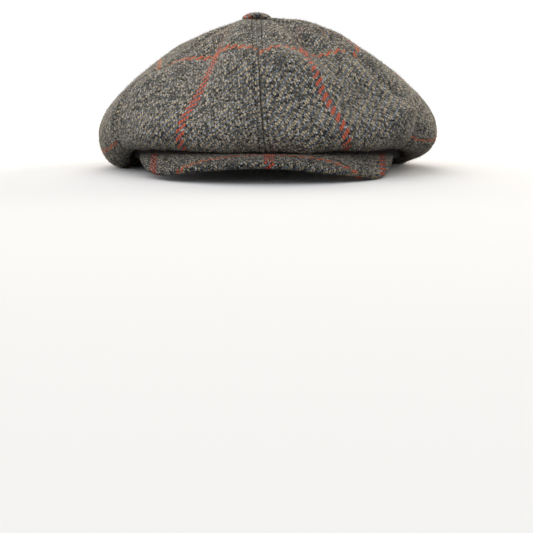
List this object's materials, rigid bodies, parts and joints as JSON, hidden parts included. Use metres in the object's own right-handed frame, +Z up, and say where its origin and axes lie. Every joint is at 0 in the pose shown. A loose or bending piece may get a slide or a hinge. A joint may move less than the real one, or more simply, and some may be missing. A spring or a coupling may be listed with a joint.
{
  "type": "baker-boy cap",
  "caption": "Full gored cap in checked wool tweed, with a covered button on top and a short stiff peak under the front of the crown.",
  "frame": {"origin": "on the surface the cap rests on, below the middle of the cap's bounding box", "axes": "the front with the peak faces -Y, +Z is up, and +X is to the right of someone who faces the front"},
  "size_m": [0.2082, 0.2608, 0.0943],
  "materials": {
    "tweed": "napped wool twill, beige and charcoal yarns with a thin rust overcheck",
    "band_cloth": "plain dark cloth band"
  },
  "bodies": {
    "root": {"panel_front_left": "tweed", "panel_front_right": "tweed", "panel_side_left": "tweed", "panel_side_right": "tweed", "panel_rear_left": "tweed", "panel_rear_right": "tweed", "band": "band_cloth", "peak": "tweed", "button": "tweed"}
  },
  "joints": []
}
